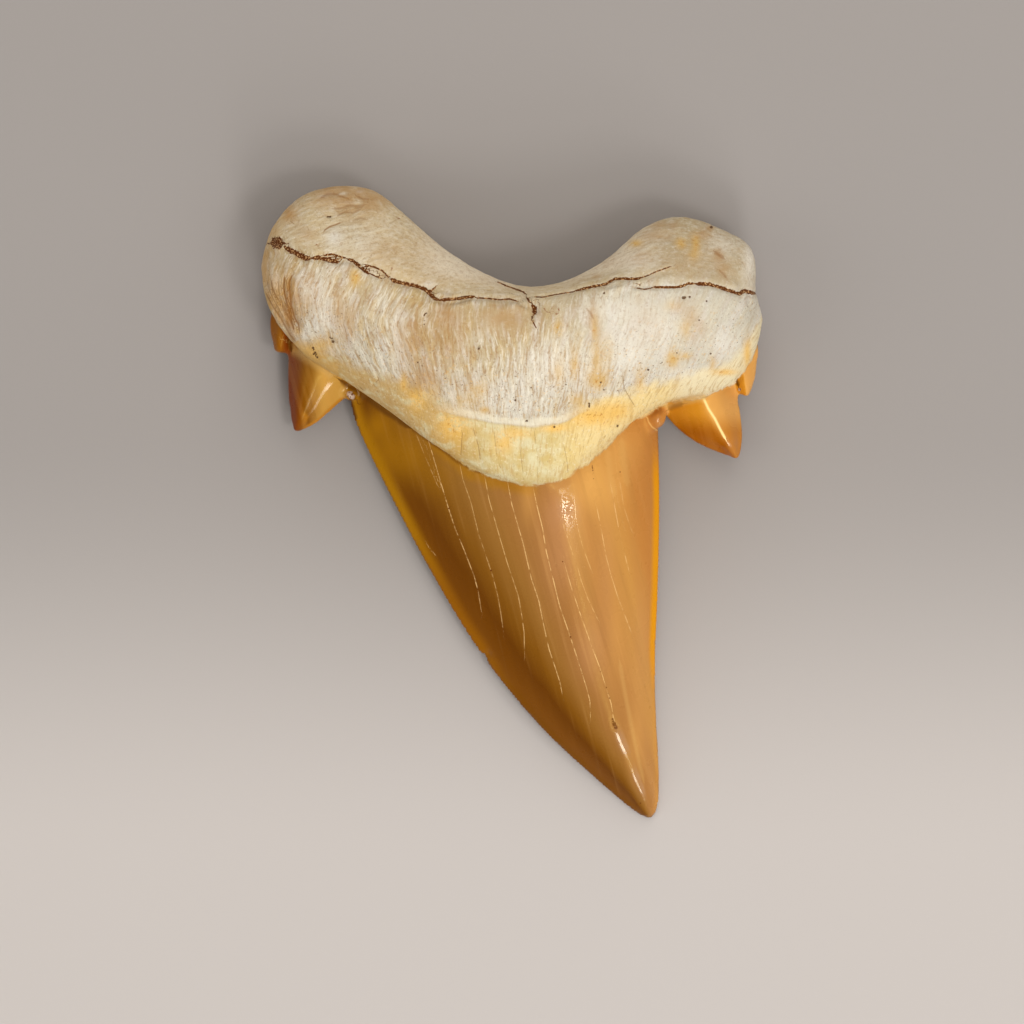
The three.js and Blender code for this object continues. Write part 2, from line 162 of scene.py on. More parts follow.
# Brown painted shade in the corners, under the root's edge and in the crevices by the cusps: half width,
# strength, and the path.
PAINTED_SHADE_LINES = [
    (0.36, 0.9, [
        (-16.4, 11.6), (-14.9, 10.6), (-13.4, 9.6), (-11.9, 8.5), (-10.6, 7.7), (-9.6, 7),
    ]),
    (0.26, 0.5, [(-10, 7.3), (-8.8, 6.5), (-7.4, 5.5), (-5.2, 3.9), (-2.8, 2.7)]),
    (0.28, 1, [(-15.4, 9.8), (-15.2, 9.1), (-15, 8.3), (-14.85, 7.7)]),
    (0.3, 0.4, [(14.8, 8.75), (15.4, 9.05), (16.2, 9.3)]),
    (0.2, 0.9, [(21.1, 12), (21.4, 11.3), (21.5, 10.9)]),
    (0.3, 1, [(-21.1, 15.9), (-21.1, 15.1), (-20.95, 14.3)]),
]
# Bits of pale matrix that stick in the notches: x, y, reach, height.
MATRIX_BITS = [(-15.4, 10.25, 0.36, 0.14), (-15.15, 9.95, 0.28, 0.1), (21.6, 10.7, 0.2, 0.1)]
# Where root and enamel run into each other without a groove, given the same way.
BLURS = [
    (1, 0.9, [(-20.8, 14.9), (-18.6, 13.6), (-16.6, 12.2)]),
    (0.5, 0.9, [(14.4, 9.1), (16.4, 9.6), (18.4, 10)]),
]

# Brown creases in the root's left side and its lobe: half width, depth, strength and path.
CREASES = [
    (0.1, 0.12, 0.8, [
        (-22.8, 21.1), (-22.7, 20.3), (-22.4, 19.6), (-21.95, 18.9), (-21.5, 18.1), (-21, 17.2),
        (-20.7, 16.5),
    ]),
    (0.12, 0.16, 1, [
        (-21.5, 21.4), (-21.6, 20.2), (-21.45, 19.4), (-21.2, 18.5), (-21, 17.7), (-20.85, 17),
        (-20.6, 16.2),
    ]),
    (0.12, 0.2, 0.9, [
        (-20.7, 21.6), (-21.1, 20.8), (-21, 19.6), (-20.85, 18.4), (-20.6, 17.5), (-20.2, 16.8),
        (-20.1, 16),
    ]),
    (0.1, 0.14, 0.8, [
        (-23.3, 19.8), (-22.9, 19), (-22.5, 18.3), (-21.95, 17.5), (-21.5, 16.7), (-21, 15.8),
        (-20.5, 15.2),
    ]),
    (0.07, 0.08, 0.6, [(-22.1, 21), (-22.1, 20), (-21.8, 19), (-21.3, 18)]),
    (0.07, 0.08, 0.6, [(-23.2, 21), (-23, 20.1), (-22.6, 19.2), (-22.1, 18.3), (-21.6, 17.4)]),
    (0.07, 0.06, 0.4, [(-20.3, 20.4), (-20.1, 19), (-19.8, 17.8)]),
    (0.1, 0.14, 0.9, [(-17.9, 25.6), (-17.3, 26.05), (-16.7, 26.25), (-16.1, 26.5)]),
    (0.14, 0.1, 0.5, [(-18.2, 28.75), (-17.5, 29.15), (-16.8, 29.2), (-16.2, 28.95), (-15.4, 28.75)]),
    (0.16, 0.1, 0.5, [(-17, 27.75), (-16.2, 27.8), (-15.4, 28.1), (-14.6, 28), (-13.9, 28.15)]),
    (0.14, 0.1, 0.5, [(-16.6, 27), (-15.9, 27.5), (-15.1, 27.35), (-14.3, 27.75)]),
    (0.12, 0.08, 0.4, [(-15.1, 26.6), (-14.4, 26.9), (-13.8, 26.75)]),
    (0.14, 0.08, 0.45, [(-14.9, 29.1), (-14.2, 28.7), (-13.5, 28.7)]),
    (0.2, 0.04, 0.6, [(19.1, 23.75), (19.6, 23.4), (20.15, 23.05)]),
    (0.14, 0.03, 0.5, [(19.6, 21.9), (19.9, 21.7), (20.3, 21.2)]),
    (0.08, 0.05, 0.3, [(-11.7, 26.3), (-10.6, 26.9)]),
    (0.14, 0.05, 0.45, [(7, 18.3), (7.4, 17.9), (7.7, 17.3)]),
]

# Pits in the root and the enamel: x, y, radius, depth.
PITS = [
    (-17.4, 27, 0.14, 0.2), (-17.2, 27, 0.1, 0.14), (-8.1, 17.8, 0.1, 0.18), (-8.3, 17.65, 0.08, 0.12),
    (-8.3, 16.8, 0.07, 0.1), (-3.15, 14.5, 0.13, 0.24), (-3.05, 14.75, 0.06, 0.1),
    (-18.85, 14.6, 0.1, 0.12), (-18.65, 14.15, 0.12, 0.14), (-18.8, 14, 0.08, 0.1),
    (-18.45, 13.7, 0.1, 0.1), (-17.2, 15.55, 0.09, 0.14), (-16.95, 15.2, 0.13, 0.18),
    (-17, 15.45, 0.06, 0.1), (0.3, 9.6, 0.09, 0.14), (1.4, 7.65, 0.12, 0.16), (1.2, 7.6, 0.07, 0.1),
    (4, 7.1, 0.1, 0.14), (1.8, 10.8, 0.07, 0.12), (5.1, 11.1, 0.07, 0.12), (7.3, 9.3, 0.1, 0.14),
    (-8.9, 13.2, 0.07, 0.1), (12.9, 12.5, 0.1, 0.16), (16.2, 19.3, 0.14, 0.2), (16.8, 19.4, 0.1, 0.14),
    (18.4, 19, 0.09, 0.12), (17.7, 17.2, 0.07, 0.1), (18.8, 14.05, 0.09, 0.14), (14.2, 13.2, 0.06, 0.1),
    (8.7, 19.75, 0.1, 0.14), (7.3, 9, 0.08, 0.1), (10, 7.2, 0.12, 0.14), (18.9, 26.05, 0.14, 0.1),
    (8.4, 11.3, 0.08, 0.1), (8.7, 10.6, 0.07, 0.08), (15.6, 14.1, 0.07, 0.1), (4.8, -5.65, 0.08, 0.05),
    (10.25, 2.85, 0.08, 0.05), (-6, -0.6, 0.08, 0.05), (-2, -6.5, 0.09, 0.05), (5.55, -12.8, 0.07, 0.05),
    (12.2, -28.6, 0.08, 0.05), (8.4, -16.1, 0.06, 0.04), (8.95, -17.6, 0.07, 0.04),
    (9.25, -18.6, 0.07, 0.04), (9.55, -20.6, 0.11, 0.08), (9.7, -21.05, 0.19, 0.1),
    (9.85, -21.4, 0.18, 0.1), (7.6, 3.4, 0.06, 0.04), (7.65, 3, 0.06, 0.04), (7.72, 2.2, 0.05, 0.04),
]
# Little rings and hooks of brown on the root: half width and path.
SQUIGGLES = [
    (0.07, [(3.7, 18.3), (4, 18.6), (4.4, 18.3), (4.45, 17.9)]),
    (0.06, [(4.3, 17.7), (3.9, 17.9)]),
    (0.06, [(3, 18.4), (3.2, 18), (3.6, 17.9)]),
    (0.06, [(4.2, 17.3), (4.5, 17.4)]),
    (0.06, [(-18.7, 24.3), (-18.4, 24.4), (-18.3, 24.1)]),
    (0.07, [(-11.3, 22.2), (-11.45, 21.8)]),
    (0.07, [(-13.2, 23.4), (-13.7, 22.8)]),
    (0.05, [(-10.9, 26.95), (-10.6, 26.8)]),
]

# Stains: x, y, reach across, reach along, strength.
TAN_STAINS = [
    (-16.6, 29.8, 3.4, 0.45, 1), (-13, 28.6, 1.4, 0.7, 0.9), (-21.2, 27.3, 0.9, 0.9, 0.8),
    (-23.7, 22.4, 0.5, 2.4, 0.9), (-9, 11.2, 0.9, 2.4, 0.9), (-4.4, 11, 2.4, 0.9, 0.3),
    (17, 22.8, 3.4, 1.8, 0.35), (-21, 18, 0.7, 3, 1), (-19.6, 19.4, 1.3, 1.8, 0.6),
    (-16.4, 18, 1, 2.6, 0.5), (-19.3, 25.4, 1, 0.8, 0.5), (-7.7, 11.8, 1.1, 1.3, 0.9),
    (13.4, 25.2, 1.4, 0.6, 0.6), (12.2, 23.2, 0.8, 0.6, 0.4), (17.8, 25.2, 1.2, 0.5, 0.5),
    (-16.2, 29, 3.4, 1.3, 1), (-14.2, 27.9, 1.8, 1.2, 0.8), (-22.4, 18.9, 1.5, 2.8, 1),
    (-22.9, 26.2, 0.9, 2.4, 0.6), (-23.5, 22.4, 0.6, 2.4, 0.7), (-6.3, 17.7, 1.3, 1.4, 1),
    (-5.8, 15.2, 1.6, 2.4, 0.7), (19.5, 23.4, 0.45, 0.6, 0.9), (19.8, 23.1, 0.3, 0.35, 0.9),
    (20.1, 21.9, 0.8, 1, 0.7), (15.4, 26.2, 0.5, 0.4, 0.7), (13.8, 26.2, 0.8, 0.4, 0.7),
    (18.8, 26, 0.35, 0.3, 1), (18.2, 25.4, 0.5, 0.5, 0.6), (-1, 21.2, 8, 1.1, 0.25),
    (8, 22.9, 4, 0.8, 0.35), (8, 21.4, 0.35, 0.3, 0.8), (7.6, 17.4, 0.5, 1.2, 0.7),
    (8.1, 16, 0.4, 1.2, 0.5), (-9, 23.2, 3.4, 2.2, 0.25), (-12, 23.6, 2, 1.6, 0.35),
    (-9.4, 15.6, 1.6, 2.6, 0.8), (-15.6, 16.6, 0.8, 2, 0.5), (17, 17.6, 0.7, 1.4, 0.5),
    (17.6, 16.4, 0.9, 1.2, 0.5), (16, 18.4, 0.8, 0.8, 0.4), (12.6, 17.2, 1.6, 2.2, 0.25),
    (-0.9, 17.3, 2.6, 1.5, 0.8), (-15, 17.6, 0.5, 1.4, 0.35),
]
OCHRE_STAINS = [
    (4.4, 16.4, 0.5, 0.7, 0.8), (5.9, 12.8, 0.4, 1.2, 0.8), (8.1, 11.5, 1, 1, 1), (15.2, 13.5, 0.6, 0.8, 1),
    (16.4, 13.8, 0.6, 0.35, 0.8), (12.1, 11.6, 0.5, 1.1, 0.7), (20.3, 12.3, 1.1, 0.3, 0.9),
    (22.3, 14, 0.35, 1.5, 1), (19, 13.1, 0.3, 0.8, 0.6), (7.6, 8, 2.2, 0.9, 1), (9.8, 8.6, 1.6, 0.9, 0.9),
    (4, 7, 1.2, 0.4, 1), (0.5, 6.5, 1.4, 0.6, 0.6), (-0.8, 5.6, 1, 1.2, 0.7), (-5.6, 7.2, 1.8, 1.6, 0.8),
    (-10.2, 11.4, 0.35, 0.9, 1), (-9, 9.8, 0.8, 1.2, 0.9), (-14.8, 21.2, 0.5, 0.8, 1),
    (-18, 14.9, 1.1, 0.8, 0.9), (-19.2, 14.3, 0.8, 0.8, 0.6), (11.7, 24.5, 0.6, 0.35, 1),
    (16, 24.5, 0.5, 0.5, 1), (17.4, 24.4, 0.4, 0.9, 0.9), (17.2, 23.4, 0.5, 0.5, 0.5),
    (-7.6, 10.2, 0.9, 0.8, 0.5), (4.4, 12.2, 0.5, 1.2, 0.6), (8, 13.6, 0.5, 1.6, 0.6),
    (7.8, 16.4, 0.3, 1.4, 0.6), (9, 14.4, 0.6, 1.4, 0.4), (-4, 9.6, 1.4, 0.8, 0.4),
    (6.2, 9.6, 0.7, 0.7, 0.7), (-2.6, 8.7, 0.5, 0.35, 0.9), (-3.2, 10.6, 0.8, 0.6, 0.6),
    (16.4, 16.4, 0.6, 0.9, 0.5), (15.2, 18.6, 0.7, 0.5, 0.4), (-20.2, 16.2, 0.4, 0.5, 0.7),
]
WHITE_PATCHES = [
    (-17.2, 19.4, 2.8, 3, 0.3), (-16.8, 25, 0.9, 0.9, 0.9), (-17.9, 17.4, 1, 1.6, 0.9),
    (-19.6, 15.9, 0.6, 0.6, 1), (-18.6, 20.4, 1.4, 1.6, 0.5), (-17.9, 28.95, 0.35, 0.2, 0.9),
    (-17.3, 29.3, 0.3, 0.15, 0.8), (-16, 29.2, 0.4, 0.15, 0.8), (-14.5, 29.4, 0.25, 0.2, 1),
    (-15.6, 28.4, 0.5, 0.15, 0.6), (3.6, 12.6, 3, 2.6, 0.9), (11.2, 14, 2, 2.6, 0.9),
    (20.2, 14.8, 1.6, 1.2, 0.9), (9.6, 18.2, 2.6, 1.2, 0.7), (13.8, 16.2, 2, 2, 0.8),
    (-10.6, 14.4, 0.9, 2.6, 0.6), (-12.2, 18.4, 1.6, 1.6, 0.4), (7.4, 12, 2.4, 2, 0.6),
    (16.4, 12, 2.4, 0.8, 0.7), (-7.9, 20.6, 0.7, 0.35, 0.8), (0, 9.2, 3, 1.4, 0.5), (-1.6, 10.4, 4, 2, 0.4),
    (-14, 24.4, 1.6, 1.4, 0.4), (20, 24.4, 1.6, 1.4, 0.5), (22.6, 23, 0.7, 3, 0.9),
    (23.6, 17.4, 0.5, 3, 0.8), (12, 22.6, 2, 0.9, 0.5), (-12.6, 11.2, 1.6, 0.8, 0.9),
    (-17, 22.2, 0.8, 0.6, 0.7),
]
# Where the bone is smooth and has no fibres.
SMOOTH_PATCHES = [
    (-1.4, 17.4, 1.9, 1.1, 1), (0.4, 17.1, 1.4, 0.9, 1), (18.6, 15, 6, 5, 0.7), (12.6, 18.4, 4, 2.4, 0.8),
    (12, 14.5, 3, 3, 0.5), (19.5, 19, 4.5, 4, 0.8), (8.6, 16.4, 3.4, 2.6, 0.6), (4.6, 18.2, 2.6, 1.3, 0.6),
    (-4, 17.8, 2, 1.2, 0.5),
]
# Tones of the enamel, given the same way; the pink patches down the ridge are partly a painted sheen.
GOLD_ENAMEL = [
    (-12.8, 7.2, 1.2, 1.5, 1), (-11.9, 4.8, 1.9, 2.8, 0.8), (-9.6, 4.6, 1.9, 2.4, 0.7),
    (-7, 2.6, 1.8, 2, 0.35),
]
ROSY_SHEEN = [
    (4.6, -1.2, 1.5, 2.2, 1), (4.6, -5, 1.6, 3.4, 0.7), (7.4, -14, 1.6, 3, 0.6), (9, -6, 0.8, 6, 0.3),
    (12.4, -13, 0.8, 5, 0.4),
]
HONEY_ENAMEL = [
    (7.4, 1.6, 1.3, 2.4, 1), (10.2, 5, 1.6, 2.8, 1), (12, 6.2, 1, 2, 0.5), (9.6, 1.2, 1.4, 2, 0.6),
    (1.5, 0.4, 0.7, 2.2, 0.45), (9.8, -13, 0.8, 4, 0.3), (11.8, -22.4, 0.8, 3, 0.4),
]
# Where the enamel is polished enough to glint.
POLISH = [
    (5.15, -0.7, 1, 1.2, 1), (10.2, -22.4, 0.5, 0.7, 1), (10.6, -23.3, 0.55, 0.7, 1),
    (11.75, -26.2, 0.5, 0.9, 1), (12.3, -27.4, 0.45, 0.8, 1), (20.8, 5.4, 0.6, 0.9, 1),
    (-17.6, 9.4, 1.5, 1, 0.5), (13.9, 7.5, 0.6, 0.6, 1), (-15.45, 10.35, 0.7, 0.7, 1),
    (-17.4, 10.6, 0.5, 0.9, 1),
]
# Where the side cusps are worn round: x, y, reach across, reach along, strength.
ROUNDED = [
    (22.6, 11.4, 1.4, 2.6, 1), (-21.8, 15, 1.3, 2.2, 1), (-18.6, 10.8, 2.6, 3, 1), (22.3, 10.3, 1, 0.9, 1),
    (10.5, -23.2, 0.9, 1.4, 0.7), (12, -26.8, 0.6, 1.4, 0.5),
]

# ------------------------ sizes, in millimetres
VOXEL = 0.245  # spacing of the sculpted mesh
EDGE_STEP = 0.1  # spacing of the points along the solid's true edges
SHARP_ANGLE = math.radians(70)  # a fold in the root steeper than this is a true edge
CROWN_ANGLE = math.radians(50)  # and so is one as steep as this in the crown and its cusps
SMOOTH_ROUNDS = 34
ROUND_OFF = 24  # rounds of relaxing where a corner is worn or filled
EDGE_PULL = 0.4  # how far in from a true edge the mesh is drawn out to it
LIP_STEP = 0.03
LIP_ROLL = 0.02  # how far the lip's smooth edge stands above the root behind it
NECK_GROOVE = 0.1
TOP = 16.33  # height of the solid
FIBRE_DEPTH = 0.055
BONE_GRAIN = 0.03
ENAMEL_WAVE = 0.03
SKIRT = 0.1  # how far a crack or crease is cut outside its half width; half that for a pit
FACE_UP = (-0.3, 0.2)  # upward lean of a face where it starts to count as lingual, and fully
EDGE_NICK = (-2.5, -14.6, 0.45, 0.28)  # x, y, reach and depth of a chip in the cutting edge
NICK_WAY = (0.83, 0.55, 0)  # the way in from the chip
WELD = 0.002  # corners closer than this are one corner
WALL = (3.8, 4.8)  # heights between which a steep face starts to count as the root's wall
LINE_ENDS = 0.06  # share of a crack over which each end tapers
CREASE_ENDS = 0.3


# ------------------------ small maths
def curve_y(outline, x):
    """Height of an outline over x."""
    xs, ys = np.array(outline).T
    return np.interp(x, xs, ys)


def curve_x(edge, y):
    """Place across of a cutting edge at y, which falls along the outline."""
    xs, ys = np.array(edge)[::-1].T
    return np.interp(y, ys, xs)


def smoothstep(low, high, value):
    t = np.clip((value - low) / (high - low), 0, 1)
    return t * t * (3 - 2 * t)


def hill(value, width):
    """1 where the value is 0, and down to nothing over a few widths."""
    return np.exp(-((value / width) ** 2))


def tapered(along, share):
    """1 along a line and 0 at its two ends, over a share of its length."""
    return smoothstep(0, share, along) * smoothstep(1, 1 - share, along)


def distance_to(points, x, y):
    return np.hypot(points[:, 0] - x, points[:, 1] - y)


def noise(points, size, seed=0):
    """Smooth noise from -1 to 1 whose features are about that size, the same on every run."""
    p = np.asarray(points) / size + 31.7 * (seed + 1)
    cell = np.floor(p).astype(np.int64)
    f = p - cell
    f = f * f * (3 - 2 * f)
    total = np.zeros(len(p))
    for corner in np.ndindex(2, 2, 2):
        i, j, k = (cell + corner).T
        h = (i * 73856093) ^ (j * 19349663) ^ (k * 83492791) ^ (seed * 2654435761)
        h = (h ^ (h >> 13)) * 1274126177
        h = (h ^ (h >> 16)) & 0xFFFF
        weight = np.prod(np.where(corner, f, 1 - f), axis=1)
        total += weight * (h / 32767.5 - 1)
    return total


def path_distance(points, path):
    """Signed distance in plan from a path, and how far along it from 0 to 1."""
    best = np.full(len(points), np.inf)
    signed = np.zeros(len(points))
    along = np.zeros(len(points))
    corners = np.array(path, float)
    lengths = np.linalg.norm(np.diff(corners, axis=0), axis=1)
    before = np.concatenate([[0], np.cumsum(lengths)])
    for a, b, length, start in zip(corners, corners[1:], lengths, before):
        d = (b - a) / length
        r = points[:, :2] - a
        t = np.clip(r @ d, 0, length)
        away = r - t[:, None] * d
        distance = np.hypot(*away.T)
        side = np.sign(d[0] * r[:, 1] - d[1] * r[:, 0])
        nearer = distance < best
        best[nearer] = distance[nearer]
        signed[nearer] = (distance * side)[nearer]
        along[nearer] = ((start + t) / before[-1])[nearer]
    return signed, along


def nearest_line(points, lines):
    """Place across the nearest line, in half widths, and how strong that line is."""
    best = np.full(len(points), np.inf)
    value = np.zeros(len(points))
    strength = np.zeros(len(points))
    for half, power, path in lines:
        signed, along = path_distance(points, path)
        outside = np.abs(signed) - half
        nearer = outside < best
        best[nearer] = outside[nearer]
        value[nearer] = (signed / (half * (0.3 + 0.7 * tapered(along, LINE_ENDS))))[nearer]
        strength[nearer] = power
    return np.clip(value, -20, 20), strength * smoothstep(0.6, 0.4, best)


def fibre_run(points):
    """Place across the root's fibres, which fan out from the neck and lean over on the left."""
    x, y, _ = points.T
    lean = smoothstep(-1, -8, x) * np.clip(y - 16.5, 0, 7) ** 1.3 * 0.3
    return x / (1 + 0.03 * (y - 10)) - lean + 0.25 * noise(points, 3, 11)


def stain(points, patches):
    """Strength from 0 to 1 of the stains at each point."""
    clear = np.ones(len(points))
    for x, y, across, reach, strength in patches:
        r2 = ((points[:, 0] - x) / across) ** 2 + ((points[:, 1] - y) / reach) ** 2
        clear *= 1 - strength * np.exp(-r2)
    return 1 - clear


# ------------------------ the sculpted mesh
def new_object(name, data):
    item = bpy.data.objects.new(name, data)
    bpy.context.collection.objects.link(item)
    return item


def welded(mesh):
    bm = bmesh.new()
    bm.from_mesh(mesh)
    bmesh.ops.remove_doubles(bm, verts=bm.verts, dist=WELD * MM)
    return bm


def sharp_edges(mesh):
    """Points along the solid's true edges, and the way out from it there."""
    bm = welded(mesh)
    found, outward = [], []
    for edge in bm.edges:
        a, b = (np.array(v.co) / MM for v in edge.verts)
        x, y, _ = (a + b) / 2
        limit = CROWN_ANGLE if y < curve_y(NECK, x) - 1 else SHARP_ANGLE
        convex = edge.is_manifold and edge.calc_face_angle_signed() > limit
        if not convex:
            continue
        out = np.array(sum((f.normal for f in edge.link_faces), Vector()).normalized())
        steps = max(2, int(np.linalg.norm(b - a) / EDGE_STEP))
        found += [a + (b - a) * s for s in np.linspace(0, 1, steps)]
        outward += [out] * steps
    bm.free()
    return np.array(found), np.array(outward)


def dense_mesh(source):
    """The solid as an even mesh in millimetres: points and quads or triangles."""
    bm = welded(source)
    bmesh.ops.scale(bm, vec=Vector((1, 1, 1)) / MM, verts=bm.verts)
    coarse = bpy.data.meshes.new("coarse")
    bm.to_mesh(coarse)
    bm.free()
    holder = new_object("coarse", coarse)
    remesh = holder.modifiers.new("even", "REMESH")
    remesh.mode = "VOXEL"
    remesh.voxel_size = VOXEL
    depsgraph = bpy.context.evaluated_depsgraph_get()
    dense = bpy.data.meshes.new_from_object(holder.evaluated_get(depsgraph))
    bpy.data.objects.remove(holder)
    bpy.data.meshes.remove(coarse)
    return dense


def read(collection, name, columns, kind=float):
    flat = np.empty(len(collection) * columns, dtype=kind)
    collection.foreach_get(name, flat)
    return flat.reshape(-1, columns)


def write_points(mesh, points):
    mesh.vertices.foreach_set("co", points.ravel())
    mesh.update()


def normals_of(mesh, points):
    write_points(mesh, points)
    return read(mesh.vertex_normals, "vector", 3, np.float32).astype(float)


def tree_of(targets):
    tree = KDTree(len(targets))
    for i, p in enumerate(targets):
        tree.insert(p, i)
    tree.balance()
    return tree


def nearest(points, targets):
    """Index of the nearest target and the distance to it, for each point."""
    tree = tree_of(targets)
    found = [tree.find(p)[1:] for p in points]
    return np.array([i for i, _ in found]), np.array([d for _, d in found])


def pull_to_edges(points, edges, edge_points, outward):
    """Brings the rims that smoothing wore down back out to the solid's true edges."""
    rim, _ = nearest(edge_points, points)
    worn = np.einsum("ij,ij->i", edge_points - points[rim], outward)
    worn = np.clip(worn, 0, 0.6)
    tree = tree_of(edge_points)
    worn = np.array([np.mean([worn[i] for _, i, _ in tree.find_range(p, 0.7)]) for p in edge_points])
    owner, distance = nearest(points, edge_points)
    shift = (hill(distance, EDGE_PULL) * worn[owner])[:, None] * outward[owner]
    return points + spread(shift, edges, 2)


def true_rims(mesh, points, edges, edge_points, outward):
    """Sets the points at the very rim level with the solid's true edges."""
    owner, distance = nearest(points, edge_points)
    way = outward[owner]
    facing = np.einsum("ij,ij->i", normals_of(mesh, points), way)
    gap = np.einsum("ij,ij->i", edge_points[owner] - points, way)
    share = smoothstep(0.5, 0.8, facing) * smoothstep(0.6, 0.3, distance)
    shift = (share * np.clip(gap, -0.15, 0.3))[:, None] * way
    return points + spread(shift, edges, 3)


def relax(points, edges, weight, rounds):
    """Draws each point towards its neighbours, by its own weight."""
    a, b = edges.T
    count = len(points)
    points = points.copy()
    valence = np.bincount(a, minlength=count) + np.bincount(b, minlength=count)
    for _ in range(rounds):
        mean = np.empty_like(points)
        for axis in range(3):
            column = points[:, axis]
            mean[:, axis] = np.bincount(a, column[b], count) + np.bincount(b, column[a], count)
        points += weight[:, None] * (mean / valence[:, None] - points)
    return points


def spread(shift, edges, rounds):
    """Evens out a movement between neighbours."""
    return relax(shift, edges, np.full(len(shift), 0.5), rounds)


def smooth(points, edges, weight, rounds):
    """Irons out the solid's facets without shrinking its forms."""
    ironed = relax(points, edges, weight, rounds)
    for _ in range(2):
        ironed = ironed + relax(points - ironed, edges, weight, rounds)
    return ironed


def regions(points, normals):
    """Masks from 0 to 1 and distances that the sculpting and the material share."""
    x, y, z = points.T
    below = smoothstep(0.1, -0.35, normals[:, 2]) * smoothstep(4.2, 3, z)
    boundary = curve_y(NECK, x) * (1 - below) + curve_y(LABIAL_FOOT, x) * below
    wobble = 0.18 * noise(points, 1.1, 3) + 0.1 * noise(points, 0.45, 4)
    # the wall under the root's bulge is bone down to the crown
    high = smoothstep(*WALL, z)
    wall = smoothstep(0.4, 0.05, normals[:, 2]) * high
    into_root = y - boundary + wobble + 0.6 * wall
    left, right = curve_x(LEFT_EDGE, y), curve_x(RIGHT_EDGE, y)
    up = smoothstep(*FACE_UP, normals[:, 2])
    return {
        "up": up,
        "lingual": np.maximum(up, high),
        "into_root": into_root,
        "enamel": smoothstep(0.22, -0.12, into_root),
        "above_lip": y - curve_y(LIP, x) + 0.2 * noise(points, 1.4, 5),
        "lip": smoothstep(-7.5, -4.8, x) * smoothstep(8, 5, x),
        "above_crest": y - curve_y(CREST, x),
        "labial": below,
        "across": (x - left) / np.maximum(right - left, 0.5),
        "from_left": (x - left) * 0.87,
        "from_right": right - x,
    }


def sculpt(mesh, edge_points, outward):
    """Smooths the mesh and cuts its relief: the new points, and how near each is to an edge."""
    points = read(mesh.vertices, "co", 3)
    edges = read(mesh.edges, "vertices", 2, np.int32)
    _, near = nearest(points, edge_points)
    weight = 0.1 + 0.4 * smoothstep(0.3, 1.4, near)
    points = smooth(points, edges, weight, SMOOTH_ROUNDS)
    points = pull_to_edges(points, edges, edge_points, outward)
    for _ in range(2):
        points = true_rims(mesh, points, edges, edge_points, outward)
    points = relax(points, edges, 0.5 * stain(points, ROUNDED), ROUND_OFF)
    # the solid's own corner at the neck is filled, before the groove is cut on its line
    into_root = regions(points, normals_of(mesh, points))["into_root"]
    away, blur = nearest_line(points, BLURS)
    blur = blur * smoothstep(1.4, 0.8, np.abs(away))
    corner = hill(into_root - 0.4, 0.7) * smoothstep(0.2, 0.8, near)
    corner = np.maximum(corner, blur * smoothstep(0.2, 0.6, near))
    points = relax(points, edges, 0.5 * corner, ROUND_OFF)
    normals = normals_of(mesh, points)
    area = regions(points, normals)
    edge_guard = smoothstep(0, 0.5, near)
    up, above_lip = area["up"], area["above_lip"]
    bone = 1 - area["enamel"]
    rough = bone * np.where(area["labial"] > 0.5, 1, smoothstep(0, 0.7, above_lip))

    height = np.zeros(len(points))
    # the root swells and sinks a little, but not at its outline
    level = smoothstep(0.15, 0.5, np.abs(normals[:, 2]))
    height += rough * level * (0.12 * noise(points, 4.2, 1) + 0.06 * noise(points, 1.7, 2))
    # the rough root ends in a smooth roll, which stands above the neck band
    lip = area["lip"] * bone * up
    height -= LIP_STEP * lip * smoothstep(0.35, -0.35, above_lip)
    height += LIP_ROLL * lip * hill(above_lip - 0.45, 0.35)
    # a groove runs round the neck, where the enamel starts
    height -= NECK_GROOVE * hill(area["into_root"] + 0.1, 0.25) * (1 - blur) * up
    # fibres of bone run down the lingual face
    below_crest = smoothstep(1.5, -1, area["above_crest"])
    grain = np.stack([fibre_run(points), points[:, 1] * 0.16, points[:, 2] * 0.3], axis=1)
    fibres = noise(grain, 0.5, 6) + 0.7 * noise(grain, 0.32, 7)
    fibrous = (0.25 + 0.75 * below_crest) * (1 - 0.8 * stain(points, SMOOTH_PATCHES))
    height += FIBRE_DEPTH * rough * fibrous * fibres
    height += BONE_GRAIN * rough * noise(points, 0.55, 12)
    for x, y, radius, depth in PITS:
        height -= depth * hill(distance_to(points, x, y), radius + SKIRT / 2) * up
    for x, y, reach, rise in MATRIX_BITS:
        lumps = 1 + 0.6 * noise(points, 0.3, 13)
        height += rise * hill(distance_to(points, x, y), reach) * lumps * up
    for half, depth, _, path in CREASES:
        signed, along = path_distance(points, path)
        height -= depth * hill(signed, half + SKIRT) * tapered(along, CREASE_ENDS) * up * bone
    # the enamel is faintly wavy along its length
    waves = np.stack([points[:, 0] + 0.27 * points[:, 1], points[:, 1] * 0.12, points[:, 2]], 1)
    height += ENAMEL_WAVE * area["enamel"] * noise(waves, 1.6, 8)

    crack = np.zeros(len(points))
    for half, depth, path in ROOT_CRACKS + NECK_CRACKS:
        signed, along = path_distance(points, path)
        ragged = signed + 0.1 * noise(points, 0.5, 9)
        ends = 0.35 + 0.65 * tapered(along, LINE_ENDS)
        crack = np.maximum(crack, depth * hill(ragged, half + SKIRT) * ends * up)
    height -= crack * bone
    points += normals * (height * edge_guard)[:, None]

    x, y, reach, depth = EDGE_NICK
    chip = depth * hill(distance_to(points, x, y), reach)
    points += chip[:, None] * np.array(NICK_WAY)
    points[:, 2] = np.maximum(points[:, 2], 0)
    points[:, 2] *= min(1, TOP / points[:, 2].max())
    return points, near


